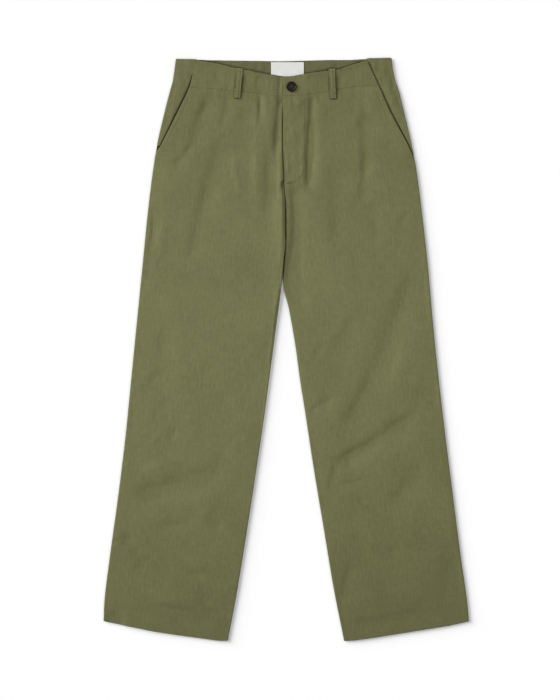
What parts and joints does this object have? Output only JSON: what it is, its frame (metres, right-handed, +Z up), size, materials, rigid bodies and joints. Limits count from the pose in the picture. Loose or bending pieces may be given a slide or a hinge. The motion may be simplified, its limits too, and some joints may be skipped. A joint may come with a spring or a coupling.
{
  "type": "work trousers",
  "caption": "Straight-leg work trousers in olive herringbone cotton, laid out flat, with slanted pockets, belt loops and a buttoned waistband.",
  "frame": {"origin": "centre of the footprint of the trousers laid out flat, on the surface they lie on", "axes": "+Z up from the surface, +Y towards the waist, +X towards the wearer's left leg"},
  "size_m": [0.6908, 1.1, 0.0108],
  "materials": {
    "cloth": "matte olive herringbone twill",
    "cloth_inside": "matte olive herringbone twill, inner face",
    "label": "white woven tape",
    "button": "dark brown horn-like resin"
  },
  "bodies": {
    "root": {"back_right": "cloth", "back_left": "cloth", "front_right": "cloth", "front_left": "cloth", "side_right": "cloth", "side_left": "cloth", "waistband_back": "cloth_inside", "waistband_front_right": "cloth", "waistband_front_left": "cloth", "fly_shield": "cloth", "belt_loop_right": "cloth", "belt_loop_left": "cloth", "label": "label", "button": "button"}
  },
  "joints": []
}
